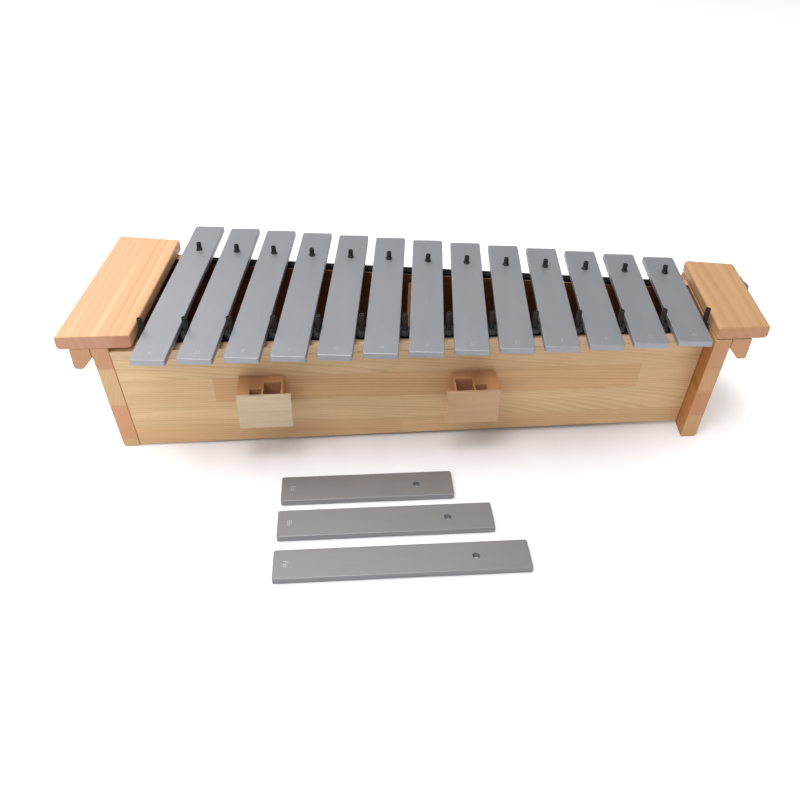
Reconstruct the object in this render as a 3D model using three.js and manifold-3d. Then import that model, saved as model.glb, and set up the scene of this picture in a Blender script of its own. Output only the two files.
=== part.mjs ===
// Alto bar instrument with a wooden resonator box: thirteen aluminium bars on pins, and three spare bars.
// Millimetres. X runs from the low bars to the high bars, Y from the player to the back, Z up from the floor.
// The bars lie across the box, centred on y = 0; the box tapers with them.
import * as THREE from "three";
import Module from "manifold-3d";
import { mergeVertices } from "three/addons/utils/BufferGeometryUtils.js";

const wasm = await Module();
wasm.setup();

// Driving dimensions.
const GAP = 0.3; // between two pieces that touch

const BAR_NOTES = ["c4", "d4", "e4", "f4", "g4", "a4", "b4", "c5", "d5", "e5", "f5", "g5", "a5"];
const BAR_PITCH = 53.8;
const BAR_WIDTH = 42;
const BAR_THICKNESS = 8;
const LONGEST_BAR = 339;
const SHORTEST_BAR = 208;
const BAR_BOW = 6; // how much longer the middle bar is than a straight taper would make it
const BAR_EDGE = 0.8; // chamfer along the bar's long edges
const ARCH_DEPTH = 2.2; // the tuning arch under the middle of each bar
const ARCH_SHARE = 0.46; // its length, as a share of the bar's
const HOLE_SHARE = 0.212; // from the bar's back end to its pin hole, as a share of its length
const HOLE_RADIUS = 4;

const SPARE_BAR_TURN = 5.4; // degrees in plan between the spare bars and the length of the row
const SPARE_BARS = [
  { note: "f_sharp_5", length: 213, x: -69, y: -199 },
  { note: "b_flat_4", length: 257, x: -43.5, y: -254 },
  { note: "f_sharp_4", length: 292, x: -22, y: -313.5 },
];

const FRONT_SHARE_LOW = 0.202; // from the front end of the lowest bar to the front line of pins
const FRONT_SHARE_HIGH = 0.24; // the same on the highest bar

const FELT_WIDTH = 14;
const FELT_THICKNESS = 4;
const FELT_PAST_PIN = 5; // front felt beyond the outermost front pins
const FELT_UNDER_BAR = 3; // back felt stops this far inside the outermost bars' edges
const EAR_FROM_FELT = 3; // from there to the raised ends of the back panel
const COLLAR_HEIGHT = 6; // rubber foot of each sleeve, which the bars rest on
const REAR_COLLAR_RADIUS = 6.5;
const COLLAR_REACH = 2.6; // how far a front pin's collar reaches under the bars on its two sides
const OUTER_COLLAR_REACH = 2.3; // the same on the first and last front pins
const FRONT_PIN_SPREAD = 0.9945; // the front pins' spacing, as a share of the bars'
const SLEEVE_RADIUS = 3.3;
const LIP_RADIUS = 3.9; // swelling of the sleeve just above the bar
const LIP_HEIGHT = 2.4;
const REAR_PIN_RISE = 10.5; // above the top of the bars
const FRONT_PIN_RISE = 14;
const NAIL_RADIUS = 1.5;
const NAIL_CLEARANCE = 0.4;
const NAIL_DEPTH = 9; // into the wood under the felt

const BOX_HEIGHT = 158; // floor to the top of the end boards
const RAIL_DROP = 5.5; // from there down to the wood under the felt
const PANEL_THICKNESS = 14;
const PANEL_BOTTOM = 5; // floor to the lower edge of the back panel
const FRONT_BOTTOM = { low: 3, high: 8 }; // floor to the lower edge of the front panel at its two ends
const RAIL_THICKNESS = 12;
const RAIL_MARGIN = 4; // rail behind the felt
const FACE_AHEAD = { low: 23.7, high: 4.4 }; // from the front line of pins to the front panel's face
const FLOOR_LEVEL = 11; // floor to the underside of the bottom board
const FLOOR_THICKNESS = 8;
const PARTITION_X = -20;
const PARTITION_THICKNESS = 12;

const BOARD_THICKNESS = 21.5;
const BOARD_LEAN = 8.5; // how far the top of an end board stands outside its foot
const FOOT_RADIUS = 3.5;
const LOW_MARGIN = 35.65; // from the first front pin to the low end board
const HIGH_MARGIN = 2.05; // from the last front pin's collar to the high end board

const CAP_THICKNESS = 18;
const CAP_RADIUS = 3;
const CAP_TAPER = 0.097; // slope in plan of the caps' front and back ends
const LOW_CAP = { outside: 38, front: -131.5, back: 120.5 };
const HIGH_CAP = { outside: 43.3, front: -79.5, back: 85.5 };
const LOW_CAP_FROM_COLLAR = 0.5; // between the low cap and the first front pin's collar
const HIGH_CAP_LAP = 0.5; // the high cap covers its end board and this much more

const GRIP_WIDTH = 24.5;
const GRIP_HEIGHT = 30;
const GRIP_FLAT = 11;
const GRIP_GROOVE = 13; // height at which the groove meets the end board, below the cap
const GRIP_RADIUS = 3;

const HOLDER_X = { low: -200.7, high: 56.5 }; // middle of each plate, measured on the panel's face
const HOLDER_BOTTOM = { low: 59.7, high: 54.2 };
const HOLDER_HEIGHT = 50;
const HOLDER_DEPTH = 37.5;
const PLATE_THICKNESS = 4.5;
const PLATE_OVERHANG = 10; // plate beyond the block, towards the middle
const BIG_CHANNEL = { width: 21, depth: 23 };
const SMALL_CHANNEL = { width: 14, depth: 11 };
const CHANNEL_WALL = 2.6;
const HOLDER_SHOULDER = 16; // solid wood beside the small channel

// Heights that follow from them.
const railTop = BOX_HEIGHT - RAIL_DROP;
const feltBase = railTop + GAP;
const feltTop = feltBase + FELT_THICKNESS;
const collarBase = feltTop + GAP;
const collarTop = collarBase + COLLAR_HEIGHT;
const barBase = collarTop + GAP;
const barTop = barBase + BAR_THICKNESS;

// The row of bars.
const barX = (index) => (index - (BAR_NOTES.length - 1) / 2) * BAR_PITCH;
const lowBarX = barX(0);
const highBarX = barX(BAR_NOTES.length - 1);
const frontPinX = (index) => barX(index - 0.5) * FRONT_PIN_SPREAD;

function barLength(index) {
  const along = index / (BAR_NOTES.length - 1);
  const straight = THREE.MathUtils.lerp(LONGEST_BAR, SHORTEST_BAR, along);
  return straight + BAR_BOW * 4 * along * (1 - along);
}

// A straight line in plan through (x0, y0) and (x1, y1), as a function of x.
function lineThrough(x0, y0, x1, y1) {
  const slope = (y1 - y0) / (x1 - x0);
  return (x) => y0 + slope * (x - x0);
}

const shifted = (line, distance) => (x) => line(x) + distance;

const rearPinLine = lineThrough(
  lowBarX, LONGEST_BAR * (0.5 - HOLE_SHARE),
  highBarX, SHORTEST_BAR * (0.5 - HOLE_SHARE),
);
const frontPinLine = lineThrough(
  lowBarX, -LONGEST_BAR * (0.5 - FRONT_SHARE_LOW),
  highBarX, -SHORTEST_BAR * (0.5 - FRONT_SHARE_HIGH),
);

// The front pins' collars.
const frontCollarRadius = (BAR_PITCH - BAR_WIDTH) / 2 + COLLAR_REACH;
const outerCollarRadius = lowBarX - BAR_WIDTH / 2 - frontPinX(0) + OUTER_COLLAR_REACH;

// The end boards' inner faces lean outwards as they rise.
const leanAt = (z) => BOARD_LEAN * (1 - z / BOX_HEIGHT);
const lowInner = (z) => frontPinX(0) - LOW_MARGIN + leanAt(z);
const highInner = (z) => frontPinX(BAR_NOTES.length) + outerCollarRadius + HIGH_MARGIN - leanAt(z);
const innerX = (end, z) => (end ? highInner(z) - GAP : lowInner(z) + GAP);

const frontFace = lineThrough(
  lowInner(0), frontPinLine(lowInner(0)) - FACE_AHEAD.low,
  highInner(0), frontPinLine(highInner(0)) - FACE_AHEAD.high,
);
const rearFace = shifted(rearPinLine, FELT_WIDTH / 2);

// The front felt is its full width at the low end and flush with the panel's face at the high end.
const frontFeltEdge = lineThrough(
  lowBarX, frontPinLine(lowBarX) - FELT_WIDTH / 2,
  highBarX, frontFace(highBarX) + GAP,
);

// How far the felt strips reach to either side.
const frontReach = frontPinX(BAR_NOTES.length) + FELT_PAST_PIN;
const rearReach = highBarX + BAR_WIDTH / 2 - FELT_UNDER_BAR;

// Materials.
const finish = (color, roughness, metalness = 0) =>
  new THREE.MeshStandardMaterial({ color, roughness, metalness });
const PINE = finish(0xdcb88a, 0.6);
const PINE_CAP = finish(0xefc08f, 0.5);
const FELT = finish(0x161616, 0.95);
const RUBBER = finish(0x1c1c1e, 0.7);
const ALUMINIUM = finish(0xb0b0b4, 0.4, 0.9);

const instrument = new THREE.Group();

function add(name, geometry, material, parent = instrument) {
  const mesh = new THREE.Mesh(geometry, material);
  mesh.name = name;
  parent.add(mesh);
  return mesh;
}

// A board given by its eight corners: corner(end, side, level) gives a place for each 0 or 1.
function board(corner) {
  const geometry = new THREE.BoxGeometry(1, 1, 1);
  const position = geometry.getAttribute("position");
  for (let i = 0; i < position.count; i++) {
    const sides = [position.getX(i), position.getY(i), position.getZ(i)].map((value) => value + 0.5);
    position.setXYZ(i, ...corner(...sides));
  }
  return geometry;
}

// An upright outline (x, z) carried along Y between two lines in plan.
function plank(outline, backLine, frontLine) {
  const settings = { depth: 1, bevelEnabled: false, curveSegments: 3 };
  const geometry = new THREE.ExtrudeGeometry(outline, settings);
  const position = geometry.getAttribute("position");
  for (let i = 0; i < position.count; i++) {
    const x = position.getX(i);
    const z = position.getY(i);
    const y = THREE.MathUtils.lerp(backLine(x), frontLine(x), position.getZ(i));
    position.setXYZ(i, x, y, z);
  }
  return geometry;
}

// A closed outline through corners [x, y, radius], each rounded by its radius.
function roundedOutline(corners) {
  const shape = new THREE.Shape();
  corners.forEach(([x, y, radius], i) => {
    const corner = new THREE.Vector2(x, y);
    const before = new THREE.Vector2(...corners.at(i - 1));
    const after = new THREE.Vector2(...corners[(i + 1) % corners.length]);
    const start = corner.clone().add(before.sub(corner).setLength(radius));
    const end = corner.clone().add(after.sub(corner).setLength(radius));
    if (i === 0) shape.moveTo(start.x, start.y);
    else shape.lineTo(start.x, start.y);
    if (radius > 0) shape.quadraticCurveTo(x, y, end.x, end.y);
  });
  return shape;
}

// Solids for cuts.
function solid(geometry) {
  const bare = geometry.index ? geometry.toNonIndexed() : geometry.clone();
  bare.deleteAttribute("normal");
  bare.deleteAttribute("uv");
  const merged = mergeVertices(bare, 1e-4);
  return new wasm.Manifold(
    new wasm.Mesh({
      numProp: 3,
      vertProperties: merged.getAttribute("position").array,
      triVerts: new Uint32Array(merged.index.array),
    }),
  );
}

function geometryOf(manifold) {
  const mesh = manifold.getMesh();
  const geometry = new THREE.BufferGeometry();
  geometry.setAttribute("position", new THREE.BufferAttribute(mesh.vertProperties, mesh.numProp));
  geometry.setIndex(new THREE.BufferAttribute(mesh.triVerts, 1));
  geometry.computeVertexNormals();
  return geometry;
}

// An upright round cutter centred on (x, y), from z0 to z1.
function roundCutter(x, y, z0, z1, radius, sides) {
  const geometry = new THREE.CylinderGeometry(radius, radius, z1 - z0, sides);
  geometry.rotateX(Math.PI / 2);
  geometry.translate(x, y, (z0 + z1) / 2);
  return solid(geometry);
}

const drilled = (geometry, cutters) =>
  geometryOf(cutters.reduce((body, cutter) => body.subtract(cutter), solid(geometry)));

// Pins: a nail in a rubber sleeve. Back pins stand in the bars' holes, front pins between the bars.
const rearPins = BAR_NOTES.map((_, i) => ({ x: barX(i), y: rearPinLine(barX(i)) }));
const frontPins = Array.from({ length: BAR_NOTES.length + 1 }, (_, i) => {
  const x = frontPinX(i);
  return { x, y: frontPinLine(x) };
});

function pinGeometry(collarRadius, rise, lip) {
  const base = [
    [0, railTop - NAIL_DEPTH + GAP],
    [NAIL_RADIUS, railTop - NAIL_DEPTH + GAP],
    [NAIL_RADIUS, collarBase],
    [collarRadius, collarBase],
    [collarRadius, collarTop],
    [SLEEVE_RADIUS, collarTop],
  ];
  const swelling = [
    [SLEEVE_RADIUS, barTop],
    [LIP_RADIUS, barTop + LIP_HEIGHT / 3],
    [SLEEVE_RADIUS, barTop + LIP_HEIGHT],
  ];
  const tip = [
    [SLEEVE_RADIUS, barTop + rise],
    [0, barTop + rise],
  ];
  const profile = [...base, ...(lip ? swelling : []), ...tip].map((point) => new THREE.Vector2(...point));
  return new THREE.LatheGeometry(profile, 10).rotateX(Math.PI / 2);
}

function addPins(prefix, pins, geometryFor) {
  pins.forEach(({ x, y }, i) => {
    const number = String(i + 1).padStart(2, "0");
    add(`${prefix}_${number}`, geometryFor(i), RUBBER).position.set(x, y, 0);
  });
}

function addFrontPins() {
  const wide = pinGeometry(frontCollarRadius, FRONT_PIN_RISE, false);
  const narrow = pinGeometry(outerCollarRadius, FRONT_PIN_RISE, false);
  const last = frontPins.length - 1;
  addPins("front_pin", frontPins, (i) => (i === 0 || i === last ? narrow : wide));
}

function addRearPins() {
  const geometry = pinGeometry(REAR_COLLAR_RADIUS, REAR_PIN_RISE, true);
  addPins("rear_pin", rearPins, () => geometry);
}

const nailHole = ({ x, y }, from, to) =>
  roundCutter(x, y, from, to, NAIL_RADIUS + NAIL_CLEARANCE, 6);
const holesInWood = (pins) => pins.map((pin) => nailHole(pin, railTop - NAIL_DEPTH, railTop + 1));
const holesInFelt = (pins) => pins.map((pin) => nailHole(pin, feltBase - 1, feltTop + 1));

// A bar lying along Y with its underside on z = 0: flat top, shallow arch underneath, one pin hole at the back.
function barGeometry(length) {
  const half = length / 2;
  const arch = (length * ARCH_SHARE) / 2;
  const side = new THREE.Shape();
  side.moveTo(-half, 0);
  side.lineTo(-arch, 0);
  side.bezierCurveTo(-arch / 2, ARCH_DEPTH, -arch / 2, ARCH_DEPTH, 0, ARCH_DEPTH);
  side.bezierCurveTo(arch / 2, ARCH_DEPTH, arch / 2, ARCH_DEPTH, arch, 0);
  side.lineTo(half, 0);
  side.lineTo(half, BAR_THICKNESS);
  side.lineTo(-half, BAR_THICKNESS);
  const geometry = new THREE.ExtrudeGeometry(side, {
    depth: BAR_WIDTH - 2 * BAR_EDGE,
    bevelThickness: BAR_EDGE,
    bevelSize: BAR_EDGE,
    bevelOffset: -BAR_EDGE,
    bevelSegments: 1,
    curveSegments: 4,
  });
  geometry.translate(0, 0, BAR_EDGE - BAR_WIDTH / 2);
  const alongY = new THREE.Matrix4().makeBasis(
    new THREE.Vector3(0, 1, 0),
    new THREE.Vector3(0, 0, 1),
    new THREE.Vector3(1, 0, 0),
  );
  geometry.applyMatrix4(alongY);
  return geometry;
}

function addBar(name, length, holeY) {
  const hole = roundCutter(0, holeY, -1, BAR_THICKNESS + 1, HOLE_RADIUS, 12);
  return add(name, drilled(barGeometry(length), [hole]), ALUMINIUM);
}

function addMountedBars() {
  BAR_NOTES.forEach((note, i) => {
    const x = barX(i);
    addBar(`bar_${note}`, barLength(i), rearPinLine(x)).position.set(x, 0, barBase);
  });
}

// The spare bars lie on the floor in front of the box, along its front, holes towards the high end.
function addSpareBars() {
  SPARE_BARS.forEach(({ note, length, x, y }) => {
    const bar = addBar(`spare_bar_${note}`, length, length * (0.5 - HOLE_SHARE));
    bar.position.set(x, y, 0);
    bar.rotation.z = THREE.MathUtils.degToRad(SPARE_BAR_TURN - 90);
  });
}

// Resonator box.
function addBox() {
  const panelTop = railTop - RAIL_THICKNESS - GAP;
  const inside = {
    front: shifted(frontFace, PANEL_THICKNESS + GAP),
    back: shifted(rearFace, -PANEL_THICKNESS - GAP),
  };

  const frontPanel = board((end, side, level) => {
    const z = level ? panelTop : THREE.MathUtils.lerp(FRONT_BOTTOM.low, FRONT_BOTTOM.high, end);
    const x = innerX(end, z);
    return [x, frontFace(x) + side * PANEL_THICKNESS, z];
  });
  add("front_panel", frontPanel, PINE);

  const railBack = shifted(frontPinLine, FELT_WIDTH / 2 + RAIL_MARGIN);
  const frontRail = board((end, side, level) => {
    const z = railTop - (level ? 0 : RAIL_THICKNESS);
    const x = innerX(end, z);
    return [x, side ? railBack(x) : frontFace(x), z];
  });
  add("front_rail", drilled(frontRail, holesInWood(frontPins)), PINE);

  // The back panel's top steps up at both ends to meet the caps.
  const rearDepth = (x, side) => rearFace(x) - (side ? 0 : PANEL_THICKNESS);
  const rearPlate = board((end, side, level) => {
    const z = level ? railTop : PANEL_BOTTOM;
    const x = innerX(end, z);
    return [x, rearDepth(x, side), z];
  });
  const earStart = rearReach + EAR_FROM_FELT;
  const ears = [0, 1].map((high) =>
    board((end, side, level) => {
      const z = level ? BOX_HEIGHT : railTop - RAIL_THICKNESS;
      const x = end === high ? innerX(high, z) : high ? earStart : -earStart;
      return [x, rearDepth(x, side), z];
    }),
  );
  const rearPanel = ears.reduce((body, ear) => body.add(solid(ear)), solid(rearPlate));
  add("rear_panel", drilled(geometryOf(rearPanel), holesInWood(rearPins)), PINE);

  const bottom = board((end, side, level) => {
    const z = FLOOR_LEVEL + level * FLOOR_THICKNESS;
    const x = innerX(end, z);
    return [x, side ? inside.back(x) : inside.front(x), z];
  });
  add("bottom_board", bottom, PINE);

  const partition = board((end, side, level) => {
    const x = PARTITION_X + (end - 0.5) * PARTITION_THICKNESS;
    const z = level ? panelTop : FLOOR_LEVEL + FLOOR_THICKNESS + GAP;
    return [x, side ? inside.back(x) : inside.front(x), z];
  });
  add("center_partition", partition, PINE);
}

// Felt strips under the two lines of pins, each between two edge lines and from -reach to reach.
function addFelt(name, frontEdge, backEdge, reach, pins) {
  const strip = board((end, side, level) => {
    const z = feltBase + level * FELT_THICKNESS;
    const x = THREE.MathUtils.lerp(-reach, reach, end);
    return [x, side ? backEdge(x) : frontEdge(x), z];
  });
  add(name, drilled(strip, holesInFelt(pins)), FELT);
}

// One end of the instrument: a leaning end board that is also the foot, a cap on it, and a grip under the cap.
function addEnd(name, cap, capInside, innerFace, outward) {
  const top = innerFace(BOX_HEIGHT);
  const foot = innerFace(0);
  const outer = top + outward * BOARD_THICKNESS;
  const front = (x) => cap.front + CAP_TAPER * (x - outer);
  const back = (x) => cap.back - CAP_TAPER * (x - outer);

  const boardOutline = roundedOutline([
    [foot, 0, FOOT_RADIUS],
    [top, BOX_HEIGHT, 0],
    [outer, BOX_HEIGHT, 0],
    [foot + outward * BOARD_THICKNESS, 0, FOOT_RADIUS],
  ]);
  add(`${name}_end_board`, plank(boardOutline, back, front), PINE);

  const capBase = BOX_HEIGHT + GAP;
  const capOutside = outer + outward * cap.outside;
  const capOutline = roundedOutline([
    [capInside, capBase, CAP_RADIUS],
    [capInside, capBase + CAP_THICKNESS, CAP_RADIUS],
    [capOutside, capBase + CAP_THICKNESS, CAP_RADIUS],
    [capOutside, capBase, CAP_RADIUS],
  ]);
  add(`${name}_cap`, plank(capOutline, back, front), PINE_CAP);

  const gripX = (distance, z) => innerFace(z) + outward * (BOARD_THICKNESS + GAP + distance);
  const gripBase = BOX_HEIGHT - GRIP_HEIGHT;
  const grooveTop = BOX_HEIGHT - GRIP_GROOVE;
  const gripOutside = gripX(GRIP_WIDTH, BOX_HEIGHT);
  const gripOutline = roundedOutline([
    [gripX(0, BOX_HEIGHT), BOX_HEIGHT, 0],
    [gripOutside, BOX_HEIGHT, 0],
    [gripOutside, gripBase, GRIP_RADIUS],
    [gripOutside - outward * GRIP_FLAT, gripBase, GRIP_RADIUS],
    [gripX(0, grooveTop), grooveTop, 0],
  ]);
  add(`${name}_grip`, plank(gripOutline, back, front), PINE);
}

// A mallet holder: a block with two channels, closed in front by a plate.
// It is drawn from its outer side towards the middle of the instrument, with the panel's face on y = 0.
function addHolder(name, inward) {
  const x = HOLDER_X[name];
  const place = new THREE.Group();
  place.position.set(x, frontFace(x), HOLDER_BOTTOM[name]);
  place.rotation.z = Math.atan(frontFace(1) - frontFace(0));
  instrument.add(place);

  const blockWidth =
    HOLDER_SHOULDER + SMALL_CHANNEL.width + CHANNEL_WALL + BIG_CHANNEL.width + CHANNEL_WALL;
  const plateWidth = blockWidth + PLATE_OVERHANG;
  const across = (distance) => inward * (distance - plateWidth / 2);
  const front = -HOLDER_DEPTH;
  const smallStart = HOLDER_SHOULDER;
  const smallEnd = smallStart + SMALL_CHANNEL.width;
  const bigStart = smallEnd + CHANNEL_WALL;
  const bigEnd = bigStart + BIG_CHANNEL.width;
  const outline = new THREE.Shape(
    [
      [0, -GAP],
      [0, front],
      [smallStart, front],
      [smallStart, front + SMALL_CHANNEL.depth],
      [smallEnd, front + SMALL_CHANNEL.depth],
      [smallEnd, front],
      [bigStart, front],
      [bigStart, front + BIG_CHANNEL.depth],
      [bigEnd, front + BIG_CHANNEL.depth],
      [bigEnd, front],
      [blockWidth, front],
      [blockWidth, -GAP],
    ].map(([distance, y]) => new THREE.Vector2(across(distance), y)),
  );
  const block = new THREE.ExtrudeGeometry(outline, { depth: HOLDER_HEIGHT, bevelEnabled: false });
  add(`${name}_holder_block`, block, PINE, place);

  const plate = new THREE.BoxGeometry(plateWidth, PLATE_THICKNESS, HOLDER_HEIGHT);
  plate.translate(0, front - GAP - PLATE_THICKNESS / 2, HOLDER_HEIGHT / 2);
  add(`${name}_holder_plate`, plate, PINE, place);
}

addBox();
addEnd("low", LOW_CAP, frontPinX(0) - outerCollarRadius - LOW_CAP_FROM_COLLAR, lowInner, -1);
addEnd("high", HIGH_CAP, highInner(BOX_HEIGHT) - HIGH_CAP_LAP, highInner, 1);
const halfFelt = FELT_WIDTH / 2;
addFelt("front_felt", frontFeltEdge, shifted(frontPinLine, halfFelt), frontReach, frontPins);
addFelt("rear_felt", shifted(rearPinLine, -halfFelt), rearFace, rearReach, rearPins);
addFrontPins();
addRearPins();
addHolder("low", 1);
addHolder("high", -1);
addMountedBars();
addSpareBars();

// The origin is the middle of everything's footprint, on the floor.
instrument.updateMatrixWorld(true);
const extent = new THREE.Box3().setFromObject(instrument, true);
instrument.position.set(-(extent.min.x + extent.max.x) / 2, -(extent.min.y + extent.max.y) / 2, 0);

export default instrument;
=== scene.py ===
# %% [markdown]
# # A bar instrument on its wooden box
# Thirteen aluminium bars lie on rubber sleeves over a tapered pine box, and three spare bars lie in front
# of it. The solid model gives every piece its place and size, and this lesson gives each one its finished
# shape and surface. The solids load first.

# %% Load the solid model
import math

import bpy
import numpy as np
from mathutils import Matrix, Vector


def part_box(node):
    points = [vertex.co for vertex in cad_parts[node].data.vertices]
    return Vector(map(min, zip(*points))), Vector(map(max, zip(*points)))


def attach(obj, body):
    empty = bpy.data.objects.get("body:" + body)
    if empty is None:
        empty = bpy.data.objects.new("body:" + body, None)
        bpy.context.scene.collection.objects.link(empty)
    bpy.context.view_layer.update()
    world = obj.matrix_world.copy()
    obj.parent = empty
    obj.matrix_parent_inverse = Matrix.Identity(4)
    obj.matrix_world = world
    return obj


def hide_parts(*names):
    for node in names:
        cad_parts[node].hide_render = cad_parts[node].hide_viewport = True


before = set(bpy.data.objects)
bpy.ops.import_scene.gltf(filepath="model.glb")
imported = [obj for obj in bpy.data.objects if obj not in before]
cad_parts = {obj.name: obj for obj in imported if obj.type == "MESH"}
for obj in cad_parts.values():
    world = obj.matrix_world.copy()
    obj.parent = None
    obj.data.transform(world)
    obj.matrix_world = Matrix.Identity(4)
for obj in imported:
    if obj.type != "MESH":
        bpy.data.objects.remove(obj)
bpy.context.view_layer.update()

# %% [markdown]
# ## Sizes
# A maker's drawing gives a few sizes and lets the rest follow. Lengths are in millimetres, with the middle
# bar's centre at x = 0, y = 0 and the floor at z = 0, because most pieces are set out from the row of bars.
# The middle bar's box in the solid model then says how far to shift everything.

# %% Driving sizes and the lines they give
GAP = 0.3
BAR_PITCH, BAR_WIDTH, BAR_THICKNESS = 53.8, 42.0, 8.0
LONGEST_BAR, SHORTEST_BAR = 339, 208
BAR_BASE, BAR_TOP = 163.4, 171.4
HOLE_SHARE = 0.212
FRONT_PIN_SPREAD = 0.9945
BOX_HEIGHT, RAIL_TOP, RAIL_BASE = 158.0, 152.5, 140.5
PANEL_THICKNESS = 14
LOW_MARGIN, HIGH_MARGIN = 35.65, 8.33
FACE_AHEAD_LOW, FACE_AHEAD_HIGH = 23.7, 4.4
FRONT_BOTTOM_LOW, FRONT_BOTTOM_HIGH = 3.0, 8.0
FELT_WIDTH, FELT_BASE, FELT_TOP = 14.0, 152.8, 156.8
BOARD_THICKNESS, BOARD_LEAN = 21.5, 8.5
CAP_TAPER, CAP_THICKNESS = 0.097, 18
GRIP_WIDTH, GRIP_FOOT_START, GRIP_DROP, GRIP_SHOULDER = 24.5, 13.5, 30, 145
FRONT_PIN_TOP, REAR_PIN_TOP = 185.4, 181.9
OUTER_COLLAR, FRONT_COLLAR, REAR_COLLAR = 6.2, 8.4, 6.5

NOTES = ["c4", "d4", "e4", "f4", "g4", "a4", "b4", "c5", "d5", "e5", "f5", "g5", "a5"]
SPARES = {
    "f_sharp_5": (213.0, -69.0, -199.0),
    "b_flat_4": (257.0, -43.5, -254.0),
    "f_sharp_4": (292.0, -22.0, -313.5),
}

low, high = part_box("bar_b4")
CENTRE = np.array([(low.x + high.x) / 2, (low.y + high.y) / 2, 0.0])


def line_through(x0, y0, x1, y1):
    """A straight line in plan: y0 plus the slope times the distance from x0."""
    return lambda x: y0 + (y1 - y0) / (x1 - x0) * (np.asarray(x, float) - x0)


def bar_x(index):
    """The middle of a bar along the row; bar 6 is the middle one."""
    return (index - 6) * BAR_PITCH


front_pin_x = [bar_x(i - 0.5) * FRONT_PIN_SPREAD for i in range(14)]
rear_pin_line = line_through(bar_x(0), LONGEST_BAR * 0.288, bar_x(12), SHORTEST_BAR * 0.288)
front_pin_line = line_through(bar_x(0), -LONGEST_BAR * 0.298, bar_x(12), -SHORTEST_BAR * 0.26)


def lean(z):
    """How far an end board's face stands inwards of its own top edge at height z."""
    return BOARD_LEAN * (1 - np.asarray(z, float) / BOX_HEIGHT)


def low_inner(z):
    return front_pin_x[0] - LOW_MARGIN + lean(z)


def high_inner(z):
    return front_pin_x[-1] + HIGH_MARGIN - lean(z)


front_face = line_through(
    low_inner(0), front_pin_line(low_inner(0)) - FACE_AHEAD_LOW,
    high_inner(0), front_pin_line(high_inner(0)) - FACE_AHEAD_HIGH,
)
FACE_ANGLE = math.atan(front_face(1.0) - front_face(0.0))
SPARE_TURN = math.radians(5.4 - 90)
front_felt_edge = line_through(
    bar_x(0), front_pin_line(bar_x(0)) - FELT_WIDTH / 2, bar_x(12), front_face(bar_x(12)) + GAP,
)


def rear_face(x):
    return rear_pin_line(x) + FELT_WIDTH / 2


def front_bottom(x):
    """The front panel's lower edge rises evenly from the low end to the high end."""
    ends = [float(low_inner(FRONT_BOTTOM_LOW)) + GAP, float(high_inner(FRONT_BOTTOM_HIGH)) - GAP]
    return np.interp(x, ends, [FRONT_BOTTOM_LOW, FRONT_BOTTOM_HIGH])


print("box inside, foot to foot:", round(float(high_inner(0) - low_inner(0)), 1), "mm")

# %% [markdown]
# ## From arrays to pieces
# Every piece is worked out as arrays of points. A shape that closes round on itself is a stack of rings:
# each ring has the same number of points, neighbours are joined by four-sided faces, and the first and
# last rings are either filled or joined to each other. The volume tells which way the faces look, and
# they are turned over together when it comes out negative.

# %% Put arrays into the scene
BODY = "resonator_box"


def ring_faces(rows, columns, joined):
    """Faces of a grid whose rows are rings: point (r, c) sits at number r * columns + c."""
    r = np.arange(rows if joined else rows - 1)[:, None]
    c = np.arange(columns)[None, :]
    below, above = r * columns, (r + 1) % rows * columns
    right = (c + 1) % columns
    return np.stack([below + c, below + right, above + right, above + c], -1).reshape(-1, 4).tolist()


def signed_volume(points, faces):
    """Six times the volume is the sum of a . (b x c) over the triangles of every face."""
    total = 0.0
    for size in {len(face) for face in faces}:
        polygon = points[np.array([face for face in faces if len(face) == size])]
        for k in range(1, size - 1):
            a, b, c = polygon[:, 0], polygon[:, k], polygon[:, k + 1]
            total += np.einsum("ij,ij->", a, np.cross(b, c)) / 6
    return total


def make_piece(name, points, faces, material, body=BODY, replaces=(), smooth_below=40):
    """A mesh object from points in millimetres, riding on its body and standing for its solids."""
    points = np.asarray(points, float).reshape(-1, 3)
    if signed_volume(points - points.mean(0), faces) < 0:
        faces = [face[::-1] for face in faces]
    mesh = bpy.data.meshes.new(name)
    mesh.from_pydata((points * 0.001 + CENTRE).tolist(), [], faces)
    mesh.materials.append(material)
    mesh.polygons.foreach_set("use_smooth", np.ones(len(mesh.polygons), bool))
    mesh.set_sharp_from_angle(angle=math.radians(smooth_below))
    mesh.update()
    piece = bpy.data.objects.new(name, mesh)
    bpy.context.scene.collection.objects.link(piece)
    weighted = piece.modifiers.new("flat faces stay flat", "WEIGHTED_NORMAL")
    weighted.keep_sharp = True
    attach(piece, body)
    if replaces:
        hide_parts(*replaces)
    return piece


def stack_of_rings(rings, joined=False):
    """Faces for rings of shape (rows, columns, 3), with flat ends unless the last ring meets the first."""
    rows, columns = rings.shape[:2]
    faces = ring_faces(rows, columns, joined)
    if not joined:
        faces.append(list(range(columns))[::-1])
        faces.append(list(range((rows - 1) * columns, rows * columns)))
    return faces


print("a cube of rings has", len(stack_of_rings(np.zeros((2, 4, 3)))), "faces")

# %% [markdown]
# ## Outlines and planks
# A board's edges are never knife sharp: sanding rounds them by a millimetre or more. So an outline is a
# row of corners with a radius each, and a plank carries it from one end surface to the other. Near each
# end the outline shrinks along a quarter circle, which rounds the end's edges as well.

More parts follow.
